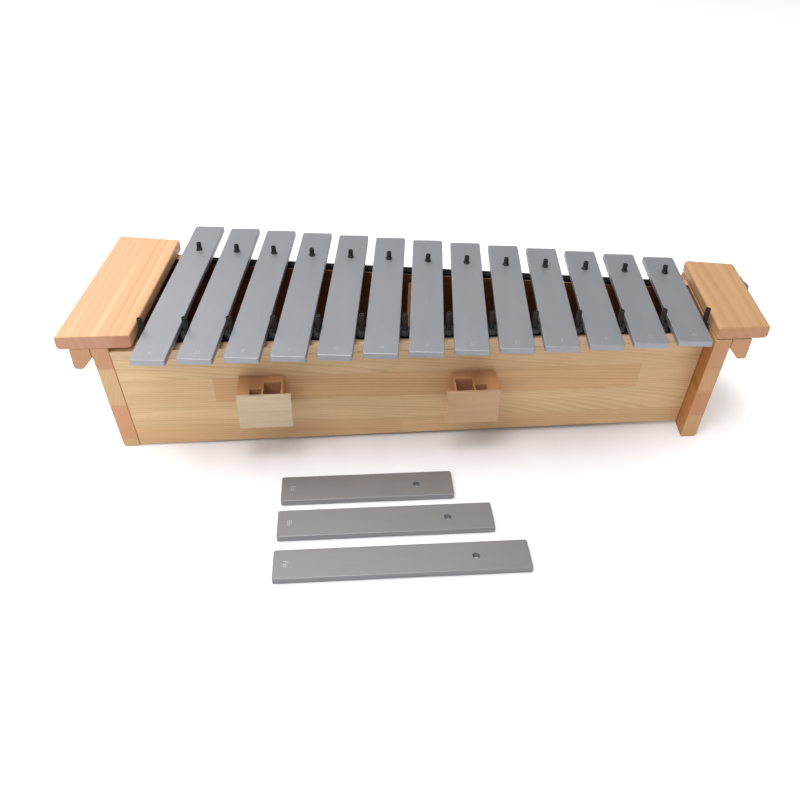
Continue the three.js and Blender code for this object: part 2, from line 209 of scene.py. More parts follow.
# %% Outline and plank
def rounded_outline(corners, steps=5):
    """Points and outward normals round a convex outline of (a, b, radius) corners.
    Each corner is an arc about the point where both sides, moved in by the radius, would meet."""
    corner = np.array([c[:2] for c in corners], float)
    radius = np.array([c[2] for c in corners], float)
    ahead = np.roll(corner, -1, 0) - corner
    ahead /= np.linalg.norm(ahead, axis=1, keepdims=True)
    behind = np.roll(ahead, 1, 0)
    area = np.cross(behind, ahead).sum()
    turn = np.sign(area)
    outward_in = turn * np.stack([behind[:, 1], -behind[:, 0]], 1)
    outward_out = turn * np.stack([ahead[:, 1], -ahead[:, 0]], 1)
    spread = 1 + np.einsum("ij,ij->i", outward_in, outward_out)
    centre = corner - (outward_in + outward_out) * (radius / spread)[:, None]
    start = np.arctan2(outward_in[:, 1], outward_in[:, 0])
    swing = np.arctan2(outward_out[:, 1], outward_out[:, 0]) - start
    swing = (swing + math.pi) % (2 * math.pi) - math.pi
    angle = start[:, None] + swing[:, None] * np.linspace(0, 1, steps)[None, :]
    normal = np.stack([np.cos(angle), np.sin(angle)], -1)
    points = centre[:, None, :] + radius[:, None, None] * normal
    return points.reshape(-1, 2), normal.reshape(-1, 2)


def plank(corners, place, start, end, edge=0.8, steps=4, middle=1):
    """Rings of an outline (a, b) carried along s from start(a, b) to end(a, b).
    place(a, b, s) puts a point in the instrument; near both ends the outline shrinks by
    edge * (1 - sin t) while s is edge * (1 - cos t) from the end, for t from 0 to a right angle."""
    points, normal = rounded_outline(corners)
    t = np.linspace(0, math.pi / 2, steps + 1)
    inset = edge * (1 - np.sin(t))
    off = edge * (1 - np.cos(t))
    inset = np.concatenate([inset, np.zeros(middle), inset[::-1]])
    from_start = np.concatenate([off, np.full(middle + steps + 1, np.nan)])
    from_end = np.concatenate([np.full(middle + steps + 1, np.nan), off[::-1]])
    share = np.linspace(0, 1, middle + 2)[1:-1]
    ring = points[None] - inset[:, None, None] * normal[None]
    a, b = ring[..., 0], ring[..., 1]
    first, last = start(a, b), end(a, b)
    way = np.sign(np.mean(last - first))
    s = np.where(
        ~np.isnan(from_start)[:, None],
        first + way * np.nan_to_num(from_start)[:, None],
        last - way * np.nan_to_num(from_end)[:, None],
    )
    middle_rows = slice(steps + 1, steps + 1 + middle)
    s[middle_rows] = first[middle_rows] + (last - first)[middle_rows] * share[:, None]
    return np.stack(np.broadcast_arrays(*place(a, b, s)), -1)


sample, _ = rounded_outline([(0, 0, 2), (10, 0, 2), (10, 5, 2), (0, 5, 2)])
print("an outline of four rounded corners has", len(sample), "points")

# %% [markdown]
# ## Shader maths in plain expressions
# A material here is a sum of patterns: growth rings, streaks, pores. Writing those as node links is hard
# to read, so one small class wraps an output socket and adds a Math node for each operator. Everything
# that isn't arithmetic comes from one method that takes the node's type, its settings and its inputs.

# %% The graph and value classes
class Graph:
    """A material under construction."""

    def __init__(self, name):
        self.material = bpy.data.materials.new(name)
        self.material.use_nodes = True
        self.tree = self.material.node_tree
        self.tree.nodes.clear()

    def node(self, kind, settings=None, inputs=None):
        """A new node: settings are set first, then its sockets are given values or links."""
        made = self.tree.nodes.new(kind)
        for name, setting in (settings or {}).items():
            if name == "stops":
                self._set_ramp(made.color_ramp, setting)
            else:
                setattr(made, name, setting)
        for socket, given in (inputs or {}).items():
            if isinstance(given, Value):
                self.tree.links.new(given.socket, made.inputs[socket])
            else:
                made.inputs[socket].default_value = given
        return made

    def _set_ramp(self, ramp, stops):
        while len(ramp.elements) < len(stops):
            ramp.elements.new(1.0)
        for element, (position, colour) in zip(ramp.elements, stops):
            element.position = position
            element.color = (*colour, 1.0)

    def value(self, kind, settings=None, inputs=None, output=0):
        return Value(self, self.node(kind, settings, inputs).outputs[output])

    def finish(self, settings):
        """The surface shader and the output."""
        shader = self.node("ShaderNodeBsdfPrincipled", inputs=settings)
        output = self.node("ShaderNodeOutputMaterial")
        self.tree.links.new(shader.outputs[0], output.inputs["Surface"])
        return self.material


def operator(operation, swapped=False):
    """A method that adds one Math node; swapped puts the value itself last."""
    def method(self, *others):
        terms = (*others, self) if swapped else (self, *others)
        return self.graph.value("ShaderNodeMath", {"operation": operation}, dict(enumerate(terms)))

    return method


class Value:
    """An output socket that can stand in a sum."""

    def __init__(self, graph, socket):
        self.graph, self.socket = graph, socket

    __add__, __radd__ = operator("ADD"), operator("ADD", True)
    __sub__, __rsub__ = operator("SUBTRACT"), operator("SUBTRACT", True)
    __mul__, __rmul__ = operator("MULTIPLY"), operator("MULTIPLY", True)
    __truediv__ = operator("DIVIDE")
    __abs__, root, lowest = operator("ABSOLUTE"), operator("SQRT"), operator("MINIMUM")
    floor, fraction = operator("FLOOR"), operator("FRACT")

    def step(self, start, end, low=0.0, high=1.0):
        """A smooth step from low at start to high at end."""
        return self.graph.value(
            "ShaderNodeMapRange",
            {"interpolation_type": "SMOOTHSTEP"},
            {"Value": self, "From Min": start, "From Max": end, "To Min": low, "To Max": high},
        )


def axes(graph, vector):
    """The x, y and z of a vector value."""
    split = graph.node("ShaderNodeSeparateXYZ", inputs={0: vector})
    return [Value(graph, output) for output in split.outputs]


def vector_of(graph, x, y, z):
    return graph.value("ShaderNodeCombineXYZ", inputs={0: x, 1: y, 2: z})


def noise(graph, vector, scale, detail=2.0, roughness=0.5):
    """Smooth noise about 0.5; a bigger scale gives a finer pattern."""
    inputs = {"Vector": vector, "Scale": scale, "Detail": detail, "Roughness": roughness}
    return graph.value("ShaderNodeTexNoise", inputs=inputs)


def chance(graph, number):
    """A random number from 0 to 1 that stays the same for the same input."""
    return graph.value("ShaderNodeTexWhiteNoise", {"noise_dimensions": "1D"}, {"W": number})


def blend(graph, share, first, second, kind="MIX"):
    """A colour between two colours, or the second laid on the first in the way kind says."""
    settings = {"data_type": "RGBA", "blend_type": kind}
    colours = {6: first, 7: second}
    for socket, colour in colours.items():
        if not isinstance(colour, Value):
            colours[socket] = (*colour, 1.0)
    return graph.value("ShaderNodeMix", settings, {0: share, **colours}, output=2)


def bump(graph, height, distance, strength):
    inputs = {"Height": height, "Distance": distance, "Strength": strength}
    return graph.value("ShaderNodeBump", inputs=inputs)


def object_position(graph):
    return graph.value("ShaderNodeTexCoord", output=3)


def object_normal(graph):
    return graph.value("ShaderNodeTexCoord", output=1)


def worn(name, grain, edges, first, second, roughness, relief, metallic=0.0):
    """A plain surface: one noise moves the colour, the roughness and the height together."""
    graph = Graph(name)
    wear = noise(graph, object_position(graph), *grain)
    return graph.finish({
        "Base Color": blend(graph, wear.step(*edges), srgb(*first), srgb(*second)),
        "Metallic": metallic,
        "Roughness": roughness + wear * 0.2,
        "Normal": bump(graph, wear, *relief),
    })


def srgb(red, green, blue):
    """A colour from 0 to 255 values as it is seen, in the linear scale the shader works in."""
    seen = np.array([red, green, blue]) / 255
    return tuple(np.where(seen > 0.04045, ((seen + 0.055) / 1.055) ** 2.4, seen / 12.92).tolist())


print("pine reads", [round(c, 3) for c in srgb(222, 184, 134)])

# %% [markdown]
# ## Pine
# Pine boards are sawn from a trunk, so the lines on them are cuts through nested growth rings. The ring
# number is the distance from the trunk's middle divided by the width of a year, and noise that changes
# slowly along the grain bends it. Each ring starts pale and ends in a thin darker line of late wood. The
# boards of this box are glued up from strips and finger-jointed lengths, so the trunk's middle and the
# tint jump from one strip to the next. Across the grain the same rings show as arcs on a darker,
# pinker surface, and the surface normal tells which faces those are.

# %% Pine material
LATE_WOOD = srgb(178, 122, 72)
# Painted shade, multiplied onto the panels' faces that look into the box.
PAINTED_INSIDE_SHADE = srgb(150, 100, 62)
# Painted shade, multiplied onto the end boards' inner faces.
PAINTED_END_INSIDE_SHADE = srgb(226, 176, 122)
FIBRE_BROWN, SEAM_BROWN = srgb(150, 96, 52), srgb(120, 76, 42)
WARM_STRIP = srgb(232, 186, 150)


def pine(
    name, grain, strips, early=srgb(206, 177, 140), ring=3.2, depth=60.0, line=0.30,
    strip_width=37.0, strip_start=0.0, strip_length=420.0, tint=0.10, end_colour=srgb(190, 140, 106),
    seed=0.0, streak=0.12, bend=10.0, flat=1.0, late_wood=LATE_WOOD, patches=(), inside=None,
):
    """Pine with its grain along one axis and its glued strips stacked along another.
    Rings: number = distance from the trunk's middle / ring width, bent by noise.
    Each patch (from, to, colour) tints the end grain between two places across the strips, and
    inside (axis, sign, colour) multiplies a painted shade colour onto the faces that look that way."""
    graph = Graph(name)
    position = dict(zip("xyz", axes(graph, object_position(graph))))
    depth_axis = ({"x", "y", "z"} - {grain, strips}).pop()
    along, across, deep = (position[axis] * 1000 for axis in (grain, strips, depth_axis))

    strip = ((across - strip_start) / strip_width).floor()
    length = (along / strip_length + chance(graph, strip + seed) * 7).floor()
    cell = strip * 5.3 + length * 17.9 + seed
    luck, luck_2, luck_3 = (chance(graph, cell + shift) for shift in (0.5, 3.7, 8.1))

    slow = vector_of(graph, along * 0.0026 + cell, across * 0.010, deep * 0.010)
    wander = (noise(graph, slow, 1.0, 1.5) - 0.5) * bend
    fine = vector_of(graph, along * 0.016 + cell, across * 0.09, deep * 0.09)
    ripple = (noise(graph, fine, 1.0, 3.0) - 0.5) * 1.2
    side = across - strip * strip_width - strip_start + (0.5 + luck * 2.0) * strip_width * flat + wander
    under = deep + depth * (0.3 + luck_2) + wander * 0.6
    number = ((side * side + under * under).root() + ripple) / (ring * (0.7 + luck_3 * 0.7))
    year = number.fraction()
    late = year.step(0.25, 0.86) * year.step(1.0, 0.9)
    late = late * (0.45 + chance(graph, number.floor() + seed) * 0.75)

    fibre_place = vector_of(graph, along * 0.035, across * 1.1, deep * 1.1)
    fibre = noise(graph, fibre_place, 1.0, 4.0, 0.65)
    streak_place = vector_of(graph, along * 0.0016 + cell, across * 0.075, deep * 0.075)
    band = noise(graph, streak_place, 1.0, 3.0, 0.55)

    colour = blend(graph, late * line, early, late_wood)
    pale = tuple(min(1.0, channel * 1.25) for channel in early)
    colour = blend(graph, band.step(0.45, 0.75, 0.0, streak * 4), colour, pale)
    colour = blend(graph, fibre.step(0.35, 0.75, 0.0, 0.10), colour, FIBRE_BROWN)
    colour = blend(graph, luck.step(0.3, 1.0, 0.0, tint * 3), colour, WARM_STRIP, "MULTIPLY")

    normal_axes = dict(zip("xyz", axes(graph, object_normal(graph))))
    end = abs(normal_axes[grain]).step(0.6, 0.9)
    end_shade = tuple(channel * 0.7 for channel in end_colour)
    end_wood = blend(graph, late * 0.22, end_colour, end_shade)
    for start, stop, patch in patches:
        uneven = across + (band - 0.5) * 12
        share = uneven.step(start - 2.5, start + 2.5) * uneven.step(stop + 2.5, stop - 2.5)
        end_wood = blend(graph, share * 0.85, end_wood, patch)
    speckle = noise(graph, vector_of(graph, along, across, deep), 0.9, 3.0, 0.7)
    end_wood = blend(graph, speckle.step(0.45, 0.7, 0.0, 0.22), end_wood, end_shade)
    colour = blend(graph, end * 0.92, colour, end_wood)

    seam_place = ((across - strip_start) / strip_width).fraction()
    seam = seam_place.lowest(1 - seam_place).step(0.010, 0.0)
    colour = blend(graph, seam * 0.28, colour, SEAM_BROWN)

    # Painted shade: the faces that look the inside way get the inside colour multiplied onto them.
    if inside:
        inside_shade_share = (normal_axes[inside[0]] * inside[1]).step(0.3, 0.8)
        colour = blend(graph, inside_shade_share * 0.93, colour, inside[2], "MULTIPLY")

    relief = late * 0.35 + fibre * 0.3 + seam * -0.6
    return graph.finish({
        "Base Color": colour,
        "Roughness": 0.42 + fibre * 0.14 + end * 0.12,
        "Specular IOR Level": 0.42,
        "Normal": bump(graph, relief, 0.00012, 0.8),
    })


# Both panels get a painted shade on their faces that look into the box.
panel_pine = pine(
    "pine panel", "x", "z", early=srgb(213, 182, 137), line=0.36, tint=0.12, seed=4.0,
    strip_width=37.5, strip_start=-5.0, strip_length=546, inside=("y", 1.0, PAINTED_INSIDE_SHADE),
)
rear_pine = pine(
    "pine rear panel", "x", "z", strip_width=37.5, strip_start=-9.0, seed=6.0,
    inside=("y", -1.0, PAINTED_INSIDE_SHADE),
)
rail_pine = pine("pine rail", "x", "z", strip_width=200, strip_start=-20, seed=9.0, tint=0.04)
# The bottom board and partition use pine darkened all over as painted shade for the inside of the box.
shaded_chamber_pine = pine(
    "pine inside the box with painted shade", "y", "z", strip_width=60, strip_start=-9.0, seed=12.0, early=srgb(128, 88, 58),
)
print("pine panel uses", len(panel_pine.node_tree.nodes), "nodes")

# %% [markdown]
# ## The box
# Two upright panels run from end board to end board and close the sound chambers at the front and back;
# the chambers are open at the top, under the bars. A plank only needs its outline in depth and height,
# because the leaning end boards give its two ends and the taper of the box bends it into place.

# %% Panels, bottom and partition
def from_low_end(_, z):
    return low_inner(z) + GAP


def to_high_end(_, z):
    return high_inner(z) - GAP


def between_ends(face, depth0, depth1, z0, z1, radius=1.0, edge=0.4):
    """A board along the box: outline in depth behind a face line and in height, cut to the end boards."""
    corners = [(depth0, z0, radius), (depth1, z0, radius), (depth1, z1, radius), (depth0, z1, radius)]
    return plank(
        corners, lambda d, z, x: (x, face(x) + d, z), from_low_end, to_high_end, edge, middle=7
    )


def add_plank(node, rings, material):
    """A piece of the box that stands for the solid of the same name."""
    make_piece(f"{node}_wood", rings, stack_of_rings(rings), material, BODY, [node])


panel_top = RAIL_BASE - GAP
front_rings = between_ends(front_face, 0, PANEL_THICKNESS, 0, panel_top)
lowest = front_bottom(front_rings[..., 0])
front_rings[..., 2] = lowest + front_rings[..., 2] * (panel_top - lowest) / panel_top
add_plank("front_panel", front_rings, panel_pine)
add_plank("rear_panel", between_ends(rear_face, -PANEL_THICKNESS, 0, 5, RAIL_TOP), rear_pine)


def ear_rings(x0, x1):
    """The raised end of the rear panel, from the panel's top up to the cap."""
    back, low, high = -PANEL_THICKNESS, RAIL_BASE, BOX_HEIGHT
    corners = [(back, low, 0.6), (0, low, 0.6), (0, high, 0.6), (back, high, 0.6)]
    return plank(
        corners, lambda d, z, x: (x, rear_face(x) + d, z), lambda d, z: x0 + 0 * z, x1, 0.5
    )


EAR_START = bar_x(12) + BAR_WIDTH / 2
for side, start, stop in (("low", -EAR_START, from_low_end), ("high", EAR_START, to_high_end)):
    ear = ear_rings(start, stop)
    make_piece(f"rear_panel_{side}_ear", ear, stack_of_rings(ear), rear_pine, BODY, ())


def inside_board(x0, x1, z0, z1):
    """A board between the panels: outline in x and height, carried from the front panel to the rear."""
    corners = [(x0(0, z0), z0, 0.6), (x1(0, z0), z0, 0.6), (x1(0, z1), z1, 0.6), (x0(0, z1), z1, 0.6)]
    return plank(
        corners,
        lambda x, z, y: (x, y, z),
        lambda x, z: front_face(x) + PANEL_THICKNESS + GAP,
        lambda x, z: rear_face(x) - PANEL_THICKNESS - GAP,
        0.4,
    )


add_plank("bottom_board", inside_board(from_low_end, to_high_end, 11, 19), shaded_chamber_pine)
partition = inside_board(lambda x, z: -26.0, lambda x, z: -14.0, 19.3, panel_top)
add_plank("center_partition", partition, shaded_chamber_pine)

# %% [markdown]
# The rail is the ledge the front felt lies on. Its back edge keeps a steady distance behind the felt,
# while its front edge is flush with the panel, so it gets narrower towards the high bars. Its outline is
# therefore given in shares of the width, and the width is worked out at each place along it.

# %% Rail
def rail_back(x):
    return front_pin_line(x) + FELT_WIDTH / 2 + 4


def rail_rings():
    """Rings of the rail: share 0 lies on the panel's face and share 1 behind the felt."""
    corners = [(0, RAIL_BASE, 0.04), (1, RAIL_BASE, 0.04), (1, RAIL_TOP, 0.04), (0, RAIL_TOP, 0.04)]
    return plank(
        corners,
        lambda share, z, x: (x, front_face(x) + share * (rail_back(x) - front_face(x)), z),
        from_low_end,
        to_high_end,
        0.02,
        steps=1,
        middle=7,
    )


add_plank("front_rail", rail_rings(), rail_pine)
rail_depth = [float(rail_back(x) - front_face(x)) for x in (low_inner(BOX_HEIGHT), high_inner(BOX_HEIGHT))]
print("rail depth, low end and high end:", [round(depth, 1) for depth in rail_depth])

# %% [markdown]
# ## Ends
# Each end is a leaning board that doubles as the foot, a wide cap to lay the hands on, and a grip under
# the cap's overhang. All three have the same slanted front and back ends, so one pair of lines in plan
# cuts them all. The caps are the most touched pieces, and their edges are rounded the most.

# %% End boards, caps and grips
# The end boards' inner faces get a painted shade colour multiplied onto them.
low_board_pine = pine(
    "pine low end board", "y", "z", strip_width=58, strip_start=11.0, ring=5.0, seed=2.0,
    inside=("x", 1.0, PAINTED_END_INSIDE_SHADE), end_colour=srgb(206, 168, 122),
    patches=((12, 69, srgb(200, 140, 102)), (128, 170, srgb(184, 130, 98))),
)
high_board_pine = pine(
    "pine high end board", "y", "z", strip_width=39, strip_start=-1.0, ring=4.5, seed=5.0,
    inside=("x", -1.0, PAINTED_END_INSIDE_SHADE), end_colour=srgb(194, 150, 104),
    patches=((38, 77, srgb(184, 124, 88)), (112, 170, srgb(188, 136, 98))),
)
low_cap_pine = pine(
    "pine low cap", "y", "x", strip_width=400, strip_start=-600, strip_length=2000, ring=8.0, depth=18,
    early=srgb(212, 167, 126), line=0.26, seed=11.0, tint=0.0, end_colour=srgb(186, 138, 108), streak=0.24,
    patches=((-364, -340, srgb(172, 112, 86)),), flat=0.4,
)
# The high cap's darker colour is partly the board's own tone and partly painted shade for the light falling
# off towards the high end.
high_cap_pine = pine(
    "pine high cap", "y", "x", strip_width=400, strip_start=-200, strip_length=2000, ring=9.0, depth=30,
    early=srgb(186, 146, 104), line=0.34, seed=15.0, tint=0.0, end_colour=srgb(186, 136, 98), streak=0.08,
    flat=0.25, bend=34.0, late_wood=srgb(158, 100, 44),
)

ENDS = {
    "low": {
        "inner": low_inner, "way": -1, "front": -131.5, "back": 120.5, "board": low_board_pine,
        "cap": low_cap_pine, "cap_in": front_pin_x[0] - 6.78, "cap_out": 38.0, "top_edge": 2.5,
        "end_edge": 1.2, "grip_radius": 5.0, "drop_radius": 5.0,
    },
    "high": {
        "inner": high_inner, "way": 1, "front": -79.5, "back": 85.5, "board": high_board_pine,
        "cap": high_cap_pine, "cap_in": float(high_inner(BOX_HEIGHT)) - 0.5, "cap_out": 43.3,
        "top_edge": 4.0, "end_edge": 3.0, "grip_radius": 3.0, "drop_radius": 2.0,
    },
}


def across_the_box(corners, outer, end, edge):
    """An upright outline in x and z carried from the slanted back end to the slanted front end."""
    return plank(
        corners,
        lambda x, z, y: (x, y, z),
        lambda x, z: end["back"] - CAP_TAPER * (x - outer),
        lambda x, z: end["front"] + CAP_TAPER * (x - outer),
        edge,
        middle=5,
    )


for side, end in ENDS.items():
    way, inner = end["way"], end["inner"]
    top, foot = float(inner(BOX_HEIGHT)), float(inner(0))
    outer = top + way * BOARD_THICKNESS
    board = [
        (foot, 0, 3.5), (top, BOX_HEIGHT, 1.3),
        (outer, BOX_HEIGHT, 1.3), (foot + way * BOARD_THICKNESS, 0, 4.0),
    ]
    add_plank(f"{side}_end_board", across_the_box(board, outer, end, 1.2), end["board"])

    cap_base = BOX_HEIGHT + GAP
    cap_top = cap_base + CAP_THICKNESS
    cap_in, cap_out = end["cap_in"], outer + way * end["cap_out"]
    cap = [
        (cap_in, cap_base, 4.5), (cap_in, cap_top, end["top_edge"]),
        (cap_out, cap_top, end["top_edge"]), (cap_out, cap_base, 5.0),
    ]
    add_plank(f"{side}_cap", across_the_box(cap, outer, end, end["end_edge"]), end["cap"])

    touch, grip_foot = outer + way * GAP, BOX_HEIGHT - GRIP_DROP
    shoulder = float(inner(GRIP_SHOULDER)) + way * (BOARD_THICKNESS + GAP)
    grip = [
        (touch, BOX_HEIGHT, 1.6), (touch + way * GRIP_WIDTH, BOX_HEIGHT, 1.6),
        (touch + way * GRIP_WIDTH, grip_foot, end["grip_radius"]),
        (touch + way * GRIP_FOOT_START, grip_foot, end["drop_radius"]),
        (shoulder, GRIP_SHOULDER, 1.6),
    ]
    add_plank(f"{side}_grip", across_the_box(grip, outer, end, 1.5), end["board"])
    print(side, "cap is", round(abs(cap_out - cap_in), 1), "mm wide")

# %% [markdown]
# A small dark fitting with two lobes sits on the outer edge of the high cap. What it is for isn't known,
# and it is made here as a soft rubber bumper. Its section is a half ellipse whose size follows the lobes
# along the cap's edge.

# %% Bumper
def bumper_rings(x, y0, y1, z, reach=7.5, rise=4.5):
    """Rings along y; the lobes' size is 0.12 + 0.88 * sqrt(1 - u^2) over each of two unequal spans."""
    share = np.linspace(0, 1, 29)
    small, big = 1 - ((share - 0.27) / 0.27) ** 2, 1 - ((share - 0.72) / 0.28) ** 2
    size = 0.12 + 0.88 * np.sqrt(np.maximum(0.35 * np.maximum(small, 0), np.maximum(big, 0)))
    a = np.linspace(0, 2 * math.pi, 20, endpoint=False)
    y = y0 + (y1 - y0) * share
    out = np.where(np.cos(a) > 0, reach, 1.0)[None, :] * np.cos(a)[None, :] * size[:, None]
    up = rise * np.sin(a)[None, :] * np.sqrt(size)[:, None]
    return np.stack([x + out, np.broadcast_to(y[:, None], out.shape), z + up], -1)


bumper = bumper_rings(cap_out, 60.0, 24.0, BOX_HEIGHT + GAP + 10.0)
bumper_rubber = worn(
    "mauve grey bumper", (260.0, 3.0, 0.6), (0.35, 0.7), (96, 84, 104), (136, 124, 142), 0.45, (0.0002, 0.5)
)
make_piece("high_cap_bumper", bumper, stack_of_rings(bumper), bumper_rubber, BODY, ())
print("the bumper stands", round(float(bumper[..., 0].max() - cap_out), 1), "mm out of the cap")

# %% [markdown]
# ## Mallet holders
# A holder is a small block with a wide and a narrow channel cut in its front, closed by a thin plate, so
# the mallets' sticks drop in from above. The channels make its outline dip inwards, where rounded
# corners would cross over each other, so the block keeps its outline and only gets a hair of a chamfer
# at the top and bottom.

# %% Holder blocks and plates
def holder_pine(name, ring, seed, early, end_colour, line):
    return pine(
        name, "x", "z", srgb(*early), ring, line=line, strip_width=200, strip_start=-20, tint=0.0,
        end_colour=srgb(*end_colour), seed=seed,
    )


# The block's darker colour is painted shade from the bars above it; the plates keep a paler pine.
shaded_block_pine = holder_pine("pine holder block with painted shade", 3.2, 21.0, (190, 138, 96), (184, 128, 84), 0.30)
low_plate_pine = holder_pine("pine low holder plate", 4.0, 24.0, (196, 176, 148), (222, 190, 144), 0.08)
high_plate_pine = holder_pine("pine high holder plate", 4.0, 27.0, (188, 152, 118), (220, 176, 130), 0.08)


def on_panel(origin_x, across, out, z):
    """A point given by its distance along the panel's face, its distance out from it and its height."""
    c, s = math.cos(FACE_ANGLE), math.sin(FACE_ANGLE)
    return (origin_x + across * c - out * s, front_face(origin_x) + across * s + out * c, z)


def prism(outline, place, z0, z1, chamfer=0.4):
    """Rings of an outline with inward corners: four levels, the outer two drawn in by the chamfer.
    A corner moves along the sum of its two sides' normals over 1 plus their dot product."""
    points = np.asarray(outline, float)
    ahead = np.roll(points, -1, 0) - points
    ahead /= np.linalg.norm(ahead, axis=1, keepdims=True)
    x, y = points[:, 0], points[:, 1]
    turn = np.sign((x * np.roll(y, -1) - np.roll(x, -1) * y).sum())
    out_next = turn * np.stack([ahead[:, 1], -ahead[:, 0]], 1)
    out_last = np.roll(out_next, 1, 0)
    spread = 1 + np.einsum("ij,ij->i", out_next, out_last)
    inward = -(out_next + out_last) / spread[:, None] * chamfer
    level = np.array([z0, z0 + chamfer, z1 - chamfer, z1])
    drawn_in = np.array([1.0, 0.0, 0.0, 1.0])
    ring = points[None] + drawn_in[:, None, None] * inward[None]
    z = np.broadcast_to(level[:, None], ring.shape[:2])
    return np.stack(np.broadcast_arrays(*place(ring[..., 0], ring[..., 1], z)), -1)


HOLDER_HEIGHT, HOLDER_DEPTH = 50.0, -37.5
SMALL, BIG, WALL, SHOULDER = (14.0, 11.0), (21.0, 23.0), 2.6, 16.0
BLOCK_WIDTH = SHOULDER + SMALL[0] + WALL + BIG[0] + WALL
PLATE_WIDTH = BLOCK_WIDTH + 10
small_end = SHOULDER + SMALL[0]
big_end = small_end + WALL + BIG[0]
block_outline = np.array([
    (0, -GAP), (0, HOLDER_DEPTH), (SHOULDER, HOLDER_DEPTH), (SHOULDER, HOLDER_DEPTH + SMALL[1]),
    (small_end, HOLDER_DEPTH + SMALL[1]), (small_end, HOLDER_DEPTH), (small_end + WALL, HOLDER_DEPTH),
    (small_end + WALL, HOLDER_DEPTH + BIG[1]), (big_end, HOLDER_DEPTH + BIG[1]), (big_end, HOLDER_DEPTH),
    (BLOCK_WIDTH, HOLDER_DEPTH), (BLOCK_WIDTH, -GAP),
])

HOLDERS = (("low", -200.7, 59.7, 1, low_plate_pine), ("high", 56.5, 54.2, -1, high_plate_pine))
half = PLATE_WIDTH / 2
front = HOLDER_DEPTH - GAP
for side, holder_x, base, inward, plate_pine in HOLDERS:
    outline = block_outline * (inward, 1) - (inward * half, 0)
    place = lambda a, out, z, x=holder_x: on_panel(x, a, out, z)
    holder_top = base + HOLDER_HEIGHT
    add_plank(f"{side}_holder_block", prism(outline, place, base, holder_top), shaded_block_pine)
    plate = [(-half, base, 0.8), (half, base, 0.8), (half, holder_top, 0.8), (-half, holder_top, 0.8)]
    rings = plank(
        plate,
        lambda a, z, out, x=holder_x: on_panel(x, a, out, z),
        lambda a, z: np.full_like(a, front),
        lambda a, z: np.full_like(a, front - 4.5),
        0.7,
    )
    add_plank(f"{side}_holder_plate", rings, plate_pine)
print("holder channels:", BIG, "and", SMALL, "mm")

# %% [markdown]
# ## Felt
# The bars must not touch wood, or they would stop ringing. A black felt strip runs under each line of
# pins. Felt is cut from a sheet, so it keeps a square section with soft edges, and its matted fibres
# leave an uneven surface that swallows light. A low roughness would give it away as plastic.

# %% Felt strips
def make_felt():
    """Near-black fibres: fine noise in the height and in the colour."""
    graph = Graph("black felt")
    place = object_position(graph)
    fibre = noise(graph, place, 1400.0, 4.0, 0.7)
    clump = noise(graph, place, 180.0, 2.0)
    colour = blend(graph, fibre.step(0.4, 0.75), srgb(9, 9, 10), srgb(27, 25, 26))
    colour = blend(graph, clump.step(0.5, 0.8, 0.0, 0.5), colour, srgb(8, 8, 9))
    return graph.finish({
        "Base Color": colour,
        "Roughness": 0.9 + fibre * 0.1,
        "Specular IOR Level": 0.15,
        "Sheen Weight": 0.06,
        "Normal": bump(graph, fibre + clump * 0.6, 0.0005, 0.9),
    })


felt = make_felt()


def felt_strip(front_edge, back_edge, reach):
    """A strip between two lines in plan; its edges waver by a fraction of a millimetre.
    The outline's depth d runs over the felt's full width, and place(d, z, x) scales it to the two lines."""
    half = FELT_WIDTH / 2
    corners = [
        (-half, FELT_BASE, 0.8), (half, FELT_BASE, 0.8),
        (half, FELT_TOP, 1.2), (-half, FELT_TOP, 1.2),
    ]

    def place(d, z, x):
        uneven = 0.4 + 0.25 * np.sin(x / 23.0) + 0.15 * np.sin(x / 7.3 + 1.0)
        middle, wide = (front_edge(x) + back_edge(x)) / 2, (back_edge(x) - front_edge(x)) / FELT_WIDTH
        return x, middle + d * wide - np.sign(d) * uneven, z

    return plank(
        corners,
        place,
        lambda d, z: np.full_like(d, -reach),
        lambda d, z: np.full_like(d, reach),
        0.8,
        middle=160,
    )


front_reach = front_pin_x[-1] + 5
rear_reach = bar_x(12) + BAR_WIDTH / 2 - 3
front_strip = felt_strip(front_felt_edge, lambda x: front_pin_line(x) + FELT_WIDTH / 2, front_reach)
rear_strip = felt_strip(lambda x: rear_pin_line(x) - FELT_WIDTH / 2, rear_face, rear_reach)
add_plank("front_felt", front_strip, felt)
add_plank("rear_felt", rear_strip, felt)
print("felt strips:", round(2 * front_reach), "mm in front and", round(2 * rear_reach), "mm behind")

# %% [markdown]
# ## Pins
# Each pin is a steel nail in a rubber sleeve. The sleeve is a turned shape, so it is a profile of radius
# and height spun round. Its foot collar carries the bars. On the back pins the rubber swells where it
# comes out of the bar's hole, and that lip keeps the bar from rattling. No two sleeves are alike, so each
# gets a gentle lean of its own after the spin, and each back pin a wavy lip.

# %% Rubber and steel
def make_rubber():
    """Black rubber, a little grey where it is scuffed."""
    graph = Graph("black rubber sleeve")
    place = object_position(graph)
    scuff = noise(graph, place, 420.0, 3.0, 0.6)
    dust = noise(graph, place, 90.0, 2.0)
    colour = blend(graph, scuff.step(0.5, 0.8, 0.0, 0.6), srgb(20, 21, 22), srgb(50, 52, 53))
    return graph.finish({
        "Base Color": colour,
        "Roughness": 0.5 + dust * 0.25,
        "Normal": bump(graph, scuff, 0.0002, 0.6),
    })


rubber = make_rubber()
steel = worn(
    "steel nail", (600.0, 3.0), (0.4, 0.7), (120, 118, 116), (84, 80, 78), 0.35, (0.0001, 0.4), 0.9
)


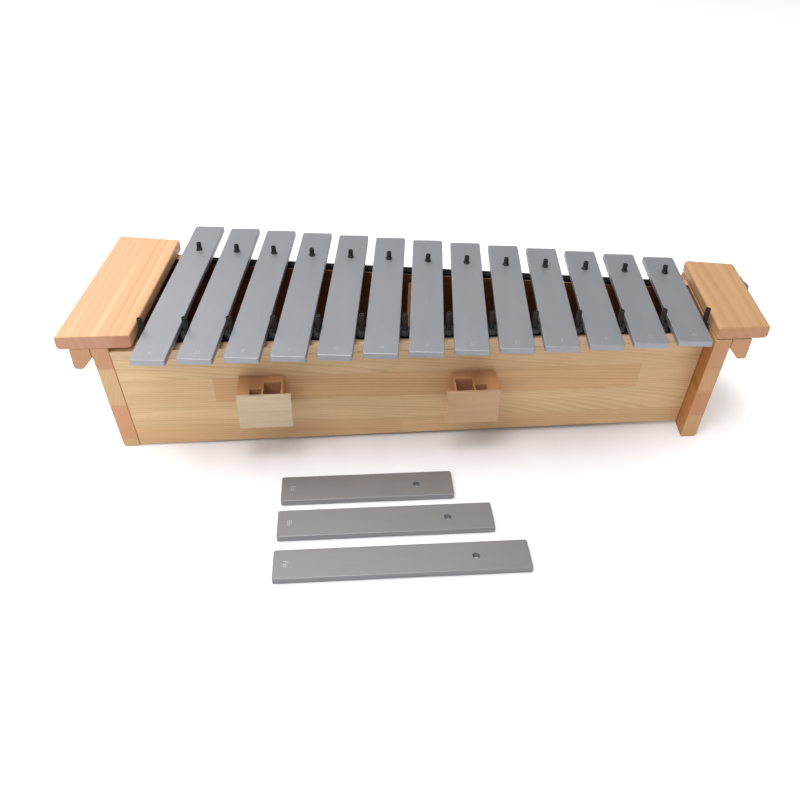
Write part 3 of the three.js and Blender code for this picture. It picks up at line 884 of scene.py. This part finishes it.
def turned(profile, sides=24, lean=(0.0, 0.0), wobble=None):
    """Rings of radius * (cos a, sin a) at each height; the lean moves a ring sideways with its height."""
    profile = np.asarray(profile, float)
    a = np.linspace(0, 2 * math.pi, sides, endpoint=False)
    radius, height = profile[:, :1], profile[:, 1:2]
    if wobble is not None:
        radius = radius + wobble(height, a[None, :])
    rise = np.maximum(height - FELT_TOP, 0)
    x = radius * np.cos(a) + lean[0] * rise
    y = radius * np.sin(a) + lean[1] * rise
    return np.stack([x, y, np.broadcast_to(height, x.shape)], -1)


def sleeve_profile(collar, lip, top):
    """Outer wall from the foot up, over a rounded rim, and down inside to just below the nail's end."""
    foot = [(1.6, 157.1), (collar - 0.6, 157.1), (collar, 157.7)]
    shoulder = [(collar, 162.4), (collar - 0.7, 163.1), (3.4, 163.1)]
    wall = [(3.3, 171.6)]
    if lip:
        wall += [(3.9, 171.9), (4.2, 172.5), (3.9, 173.3), (3.3, 173.9)]
    rim = [(3.25, top - 0.6), (3.1, top - 0.1), (2.6, top)]
    bore = [(2.1, top - 0.2), (1.8, top - 1.2), (1.7, top - 2.6)]
    return foot + shoulder + wall + rim + bore


def add_pin(node, x, y, collar, lip, top, number):
    """The sleeve stands for the solid pin, and the nail in it is a piece of its own."""
    chooser = np.random.default_rng(number)
    lean = chooser.uniform(-0.035, 0.035, 2) * (1.0 if lip else 0.6)
    phase = chooser.uniform(0, 2 * math.pi, 2)

    def wobble(height, a):
        at_lip = np.exp(-(((height - 172.3) / 0.8) ** 2)) * (0.35 if lip else 0.0)
        return at_lip * (np.cos(2 * a + phase[0]) + 0.6 * np.cos(3 * a + phase[1])) * 0.6

    sleeve = turned(sleeve_profile(collar, lip, top), 24, lean, wobble) + (x, y, 0)
    make_piece(node + "_sleeve", sleeve, stack_of_rings(sleeve), rubber, BODY, [node])
    nail = turned([(0.5, 143.9), (1.5, 144.4), (1.5, top - 1.9), (1.1, top - 1.5)], 12, lean) + (x, y, 0)
    make_piece(node + "_nail", nail, stack_of_rings(nail), steel, BODY, ())


for i, x in enumerate(front_pin_x):
    collar = OUTER_COLLAR if i in (0, 13) else FRONT_COLLAR
    add_pin(f"front_pin_{i + 1:02d}", x, float(front_pin_line(x)), collar, False, FRONT_PIN_TOP, i)
for i in range(13):
    x = bar_x(i)
    add_pin(f"rear_pin_{i + 1:02d}", x, float(rear_pin_line(x)), REAR_COLLAR, True, REAR_PIN_TOP, 100 + i)
print("pins:", len(front_pin_x), "in front and 13 behind")

# %% [markdown]
# ## Bars
# A bar is a flat aluminium strip with a hole at the back and a shallow arch filed under its middle to
# tune it. A solid with one hole through it is like a ring, so its surface is a grid closed both ways:
# one direction goes round the hole and the bar's outline together, and the other goes from the hole's
# rim over the top, down the side, back under the bar and up the hole's wall.

# %% Bar surface
def bar_outline(half_width, half_length, corner, hole_y):
    """Points round a bar's plan with their outward normals, denser beside the hole."""
    side = np.linspace(-half_length + corner, half_length - corner, 34)
    beside = hole_y + 20 * np.tan(np.radians(np.arange(-70, 71, 10)))
    side = np.unique(np.round(np.concatenate([side, beside[np.abs(beside) < half_length - corner]]), 3))
    across = np.linspace(-half_width + corner, half_width - corner, 7)
    arc = np.linspace(0, math.pi / 2, 5)[1:-1]
    cx, cy = half_width - corner, half_length - corner
    right = [np.full_like(side, half_width), side, np.ones_like(side), np.zeros_like(side)]
    top = [across[::-1], np.full_like(across, half_length), np.zeros_like(across), np.ones_like(across)]

    def corner_arc(x, y, start):
        a = start + arc
        return [x + corner * np.cos(a), y + corner * np.sin(a), np.cos(a), np.sin(a)]

    parts = [
        right, corner_arc(cx, cy, 0), top, corner_arc(-cx, cy, math.pi / 2),
        [-right[0], side[::-1], -right[2], right[3]], corner_arc(-cx, -cy, math.pi),
        [across, -top[1], top[2], -top[3]], corner_arc(cx, -cy, 1.5 * math.pi),
    ]
    x, y, nx, ny = (np.concatenate([part[k] for part in parts]) for k in range(4))
    return np.stack([x, y], 1), np.stack([nx, ny], 1)


def bar_rings(length, edge=1.0, corner=2.6, hole_radius=4.0, lip=0.5):
    """The grid of a bar with its underside on z = 0 and its length along y.
    Arch: height 1.1 * (1 + cos(pi * y / reach)) within reach of the middle."""
    hole = np.array([0.0, length * (0.5 - HOLE_SHARE)])
    outline, normal = bar_outline(BAR_WIDTH / 2, length / 2, corner, hole[1])
    toward = outline - hole
    ray = toward / np.linalg.norm(toward, axis=1, keepdims=True)
    reach = length * 0.23
    thick = BAR_THICKNESS

    def under(y):
        return np.where(np.abs(y) < reach, 1.1 * (1 + np.cos(math.pi * y / reach)), 0.0)

    def ring(points, height, from_below):
        base = under(points[:, 1]) if from_below else 0.0
        return np.column_stack([points, np.broadcast_to(base + height, len(points))])

    t = np.linspace(0, math.pi / 2, 6)
    rim, support = hole + (hole_radius + lip) * ray, hole + (hole_radius + lip + 0.8) * ray
    wall, inset = hole + hole_radius * ray, outline - (edge + 0.8) * normal
    rings = [ring(rim, thick, False), ring(support, thick, False)]
    rings += [ring(support + (inset - support) * s, thick, False) for s in (0.2, 0.45, 0.7, 1.0)]
    drawn_in = [outline - edge * (1 - math.sin(a)) * normal for a in t]
    rounded = [edge * (1 - math.cos(a)) for a in t]
    rings += [ring(points, thick - drop, False) for points, drop in zip(drawn_in, rounded)]
    rings += [ring(points, drop, True) for points, drop in zip(drawn_in[::-1], rounded[::-1])]
    rings += [ring(inset + (support - inset) * s, 0.0, True) for s in np.linspace(0, 1, 18)]
    rings += [ring(rim, 0.0, True), ring(wall, lip, True), ring(wall, thick - lip, False)]
    return np.array(rings)


print("the longest bar is a grid of", bar_rings(LONGEST_BAR).shape[:2], "points")

# %% [markdown]
# The bars' metal is rolled and then brushed lengthways, which leaves fine parallel scratches and a satin
# shine. The pattern is noise stretched along the bar, in the bar's own direction: the mounted bars lie
# along y, and the spare ones lie nearly crosswise in front of the box.

# %% Brushed aluminium
def make_aluminium(name, turn, base=srgb(154, 155, 160)):
    """Satin aluminium brushed along the bar; turn is the angle from the y axis to the bar's length."""
    graph = Graph(name)
    mapping = graph.value(
        "ShaderNodeMapping", {"vector_type": "POINT"},
        {"Vector": object_position(graph), "Rotation": (0.0, 0.0, -turn)},
    )
    x, y, z = axes(graph, mapping)
    scratch = noise(graph, vector_of(graph, x * 3800, y * 26, z * 3800), 1.0, 3.0, 0.6)
    haze = noise(graph, vector_of(graph, x * 40, y * 7, z * 40), 1.0, 3.0)
    grain = noise(graph, mapping, 2600.0, 2.0)
    colour = blend(graph, scratch.step(0.3, 0.7, 0.0, 0.3), base, tuple(c * 0.82 for c in base))
    colour = blend(graph, haze.step(0.35, 0.75, 0.0, 0.25), colour, tuple(min(1.0, c * 1.12) for c in base))
    return graph.finish({
        "Base Color": colour,
        "Metallic": 0.65,
        "Roughness": 0.40 + scratch * 0.10 + haze * 0.06,
        "Normal": bump(graph, scratch + grain * 0.3, 0.00003, 0.5),
    })


mounted_metal = make_aluminium("brushed aluminium", 0.0)
spare_metal = make_aluminium("brushed aluminium spare", SPARE_TURN, srgb(140, 139, 141))
print("brushed aluminium uses", len(mounted_metal.node_tree.nodes), "nodes")

# %% [markdown]
# Each bar rides on a body of its own, because it lifts off its pins by itself. A maker stamps the note's
# letter near the front end. The letters here are plain note names, cut very shallow: a text object gives
# the outline, and it becomes a thin mesh that lies on the bar.

# %% Letters
letter_metal = worn(
    "stamped letter", (900.0, 2.0), (0.4, 0.65), (190, 190, 195), (152, 152, 158), 0.35, (0.00005, 0.5), 0.6
)


def add_letter(name, text, body, move, turn, size=9.0):
    """A stamped letter: a thin text outline, placed by move (mm) and turned about the upright."""
    curve = bpy.data.curves.new(name, "FONT")
    curve.body = text
    curve.size = size * 0.001
    curve.extrude = 0.00006
    curve.align_x, curve.align_y = "CENTER", "CENTER"
    curve.resolution_u = 3
    shape = bpy.data.objects.new(name + "_curve", curve)
    mesh = bpy.data.meshes.new_from_object(shape)
    place = Matrix.Translation(Vector(move) * 0.001 + Vector(CENTRE)) @ Matrix.Rotation(turn, 4, "Z")
    mesh.transform(place)
    mesh.materials.clear()
    mesh.materials.append(letter_metal)
    bpy.data.objects.remove(shape)
    piece = bpy.data.objects.new(name, mesh)
    bpy.context.scene.collection.objects.link(piece)
    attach(piece, body)


def note_letter(note):
    """The name to stamp: a capital letter, with a sign where the note has one."""
    signed = {"f_sharp": "F#", "b_flat": "Bb"}
    stem = note.rsplit("_", 1)[0]
    return signed.get(stem, note[0].upper())


print("letters:", *map(note_letter, [*NOTES, *SPARES]))


# %% [markdown]
# Every mounted bar takes its length from its own solid, so the bars get shorter in the same steps. The
# spare bars use the same surface, turned to lie on the floor in front of the box.

# %% Mounted bars and spare bars
LETTER_FROM_END = 14


def add_bar(node, rings, body, metal):
    make_piece(node + "_metal", rings, stack_of_rings(rings, True), metal, body, [node])


for i, note in enumerate(NOTES):
    low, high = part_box(f"bar_{note}")
    length = (high.y - low.y) * 1000
    move = np.array([bar_x(i), 0.0, BAR_BASE])
    add_bar(f"bar_{note}", bar_rings(length) + move, f"bar_{note}_body", mounted_metal)
    add_letter(
        f"bar_{note}_letter", note_letter(note), f"bar_{note}_body",
        (bar_x(i) + 1, -length / 2 + LETTER_FROM_END, BAR_TOP + 0.02), 0.0,
    )

for note, (length, x, y) in SPARES.items():
    c, s = math.cos(SPARE_TURN), math.sin(SPARE_TURN)
    rings = bar_rings(length) @ np.array([[c, s, 0], [-s, c, 0], [0, 0, 1]]) + (x, y, 0)
    add_bar(f"spare_bar_{note}", rings, f"spare_bar_{note}_body", spare_metal)
    end = -length / 2 + LETTER_FROM_END
    add_letter(
        f"spare_bar_{note}_letter", note_letter(note), f"spare_bar_{note}_body",
        (x - s * end, y + c * end, BAR_THICKNESS + 0.02), SPARE_TURN,
    )
print("bars:", len(NOTES), "mounted and", len(SPARES), "spare")

# %% [markdown]
# ## Floor, light and camera
# Product light is broad and soft. A lamp in front on the left models the shapes, a wide lamp overhead
# fills the tops of the bars, a weak one behind on the left lights the far edges, and the surround is
# bright. The floor is pale, and glows away from the box so that it fades to white.

# %% Stage
def make_floor():
    """A pale floor whose glow grows with the distance from a point under the box."""
    graph = Graph("pale floor")
    place = object_position(graph)
    tone = noise(graph, place, 3.0, 2.0)
    colour = blend(graph, tone.step(0.3, 0.7), srgb(247, 247, 250), srgb(244, 244, 248))
    x, y, _ = axes(graph, place)
    ahead = y + 1.45
    far = (x * x * 3.0 + ahead * ahead).root().step(0.35, 0.95)
    return graph.finish({
        "Base Color": colour,
        "Roughness": 0.5,
        "Specular IOR Level": 0.2,
        "Emission Color": blend(graph, far, (0.0, 0.0, 0.0), (1.0, 1.0, 1.0)),
        "Emission Strength": 0.4,
    })


bpy.ops.mesh.primitive_plane_add(size=12, location=(0, 1.5, 0))
floor = bpy.context.object
floor.name = "floor"
floor.data.materials.append(make_floor())


def add_lamp(name, place, aim, size, power):
    lamp = bpy.data.lights.new(name, "AREA")
    lamp.shape, lamp.size, lamp.size_y = "RECTANGLE", size[0], size[1]
    lamp.energy = power
    thing = bpy.data.objects.new(name, lamp)
    thing.location = place
    thing.rotation_euler = (Vector(aim) - Vector(place)).to_track_quat("-Z", "Y").to_euler()
    bpy.context.scene.collection.objects.link(thing)


add_lamp("key", (-1.3, -1.5, 2.0), (0, 0, 0.1), (1.4, 1.1), 17)
add_lamp("top", (-0.4, 0.0, 2.4), (0, 0.1, 0.1), (2.2, 1.4), 55)
add_lamp("back", (-1.7, 1.7, 1.4), (-0.1, 0, 0.1), (1.5, 1.1), 11)

world = bpy.data.worlds.new("studio")
world.use_nodes = True
surround = world.node_tree.nodes["Background"].inputs
surround["Color"].default_value = (1.0, 1.0, 1.0, 1.0)
surround["Strength"].default_value = 0.42
bpy.context.scene.world = world
bpy.context.scene.view_settings.view_transform = "Standard"

# %% [markdown]
# The camera stands in front of the box and looks down at it. Pitch tips it down, yaw turns it to the side
# and roll leans the horizon. Its own right, up and backward directions then fill its matrix.

# %% Camera
PITCH, YAW, ROLL = (math.radians(angle) for angle in (38.908, -1.470, -0.499))
forward = Vector((math.sin(YAW) * math.cos(PITCH), math.cos(YAW) * math.cos(PITCH), -math.sin(PITCH)))
level = Vector((math.cos(YAW), -math.sin(YAW), 0.0))
down = forward.cross(level)
right = math.cos(ROLL) * level + math.sin(ROLL) * down
below = -math.sin(ROLL) * level + math.cos(ROLL) * down

camera = bpy.data.objects.new("camera", bpy.data.cameras.new("camera"))
camera.data.sensor_width = 36.0
camera.data.lens = 35.47
camera.data.clip_end = 50
turned_to = Matrix((right, -below, -forward)).transposed().to_4x4()
stand = Vector((-0.01148, -0.8944, 0.70773)) + Vector(CENTRE)
camera.matrix_world = Matrix.Translation(stand) @ turned_to
bpy.context.scene.collection.objects.link(camera)
bpy.context.scene.camera = camera
print("the camera is", round(stand.z, 2), "m up with a", camera.data.lens, "mm lens")
